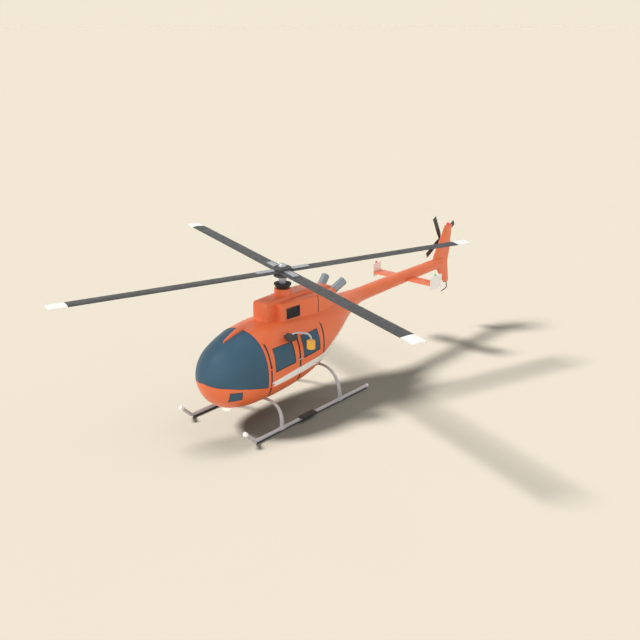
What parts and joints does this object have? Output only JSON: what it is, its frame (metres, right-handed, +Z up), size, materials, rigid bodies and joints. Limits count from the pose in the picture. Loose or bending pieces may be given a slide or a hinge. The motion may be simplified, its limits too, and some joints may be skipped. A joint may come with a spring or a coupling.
{
  "type": "helicopter",
  "caption": "Light skid-gear helicopter with a round glazed nose, a pod and boom, a flat main rotor, a side tail rotor, hinged cabin doors and a small side hoist.",
  "frame": {"origin": "under the middle of the bounding box, on the ground that the skids stand on", "axes": "+Z up, the nose towards -Y, the port side towards +X"},
  "size_m": [9.3632, 11.7502, 3.1703],
  "materials": {
    "orange_paint": "gloss orange enamel",
    "tinted_glass": "blue-grey tinted acrylic",
    "white_paint": "gloss white enamel",
    "blade_grey": "satin dark grey paint",
    "grey_steel": "satin grey paint on steel tube",
    "bright_steel": "brushed",
    "black_rubber": "matt black, ribbed",
    "dark_plastic": "matt black",
    "seat_cloth": "woven dark grey cloth",
    "hoist_yellow": "gloss yellow enamel",
    "red_lens": "clear red lens",
    "green_lens": "clear green lens"
  },
  "bodies": {
    "airframe": {"beacon": "red_lens", "belly_light": "white_paint", "cabin_floor": "dark_plastic", "cabin_shell": "orange_paint", "chin_window_left": "tinted_glass", "chin_window_right": "tinted_glass", "cross_tube_front": "grey_steel", "cross_tube_rear": "grey_steel", "door_hoop": "orange_paint", "end_plate_left": "white_paint", "end_plate_right": "white_paint", "engine_block": "grey_steel", "engine_cowling": "orange_paint", "exhaust_left": "bright_steel", "exhaust_right": "bright_steel", "hoist_base": "dark_plastic", "instrument_panel": "dark_plastic", "intake_grille_left": "dark_plastic", "intake_grille_right": "dark_plastic", "mast_boot": "black_rubber", "mast_fairing": "orange_paint", "nav_light_left": "green_lens", "nav_light_right": "red_lens", "nose_fairing": "orange_paint", "pilot_seat_left": "seat_cloth", "pilot_seat_right": "seat_cloth", "rear_bench": "seat_cloth", "rear_door_left": "orange_paint", "rear_door_right": "orange_paint", "rear_door_window_left": "tinted_glass", "rear_door_window_right": "tinted_glass", "skid_left": "grey_steel", "skid_right": "grey_steel", "stabiliser": "orange_paint", "step_pad_left": "black_rubber", "step_pad_right": "black_rubber", "tail_boom": "orange_paint", "tail_fin": "orange_paint", "tail_gearbox": "dark_plastic", "tail_skid": "grey_steel", "windscreen": "tinted_glass", "windscreen_strip": "orange_paint"},
    "main_rotor": {"rotor_mast": "bright_steel", "rotor_head": "blade_grey", "rotor_cap": "bright_steel", "rotor_blade_1": "blade_grey", "rotor_blade_2": "blade_grey", "rotor_blade_3": "blade_grey", "rotor_blade_4": "blade_grey", "blade_grip_1": "bright_steel", "blade_grip_2": "bright_steel", "blade_grip_3": "bright_steel", "blade_grip_4": "bright_steel"},
    "tail_rotor_body": {"tail_rotor": "blade_grey"},
    "door_left": {"front_door_left": "orange_paint", "front_door_window_left": "tinted_glass"},
    "door_right": {"front_door_right": "orange_paint", "front_door_window_right": "tinted_glass"},
    "hoist": {"hoist_arm": "bright_steel", "hoist_drum": "hoist_yellow"}
  },
  "joints": [
    {"name": "main_rotor_spin", "type": "hinge", "parent": "airframe", "child": "main_rotor", "pos_m": [0, -1.1935, 2.9], "axis": [0, 0, 1], "continuous": true},
    {"name": "tail_rotor_spin", "type": "hinge", "parent": "airframe", "child": "tail_rotor_body", "pos_m": [-0.18, 5.1865, 2.44], "axis": [1, 0, 0], "continuous": true},
    {"name": "door_left_hinge", "type": "hinge", "parent": "airframe", "child": "door_left", "pos_m": [0.797, -2.3735, 1.2], "axis": [0, 0, -1], "range_deg": [0, 75]},
    {"name": "door_right_hinge", "type": "hinge", "parent": "airframe", "child": "door_right", "pos_m": [-0.797, -2.3735, 1.2], "axis": [0, 0, 1], "range_deg": [0, 75]},
    {"name": "hoist_swing", "type": "hinge", "parent": "airframe", "child": "hoist", "pos_m": [0.8, -1.7735, 1.945], "axis": [0, 0, -1], "range_deg": [0, 60]}
  ]
}
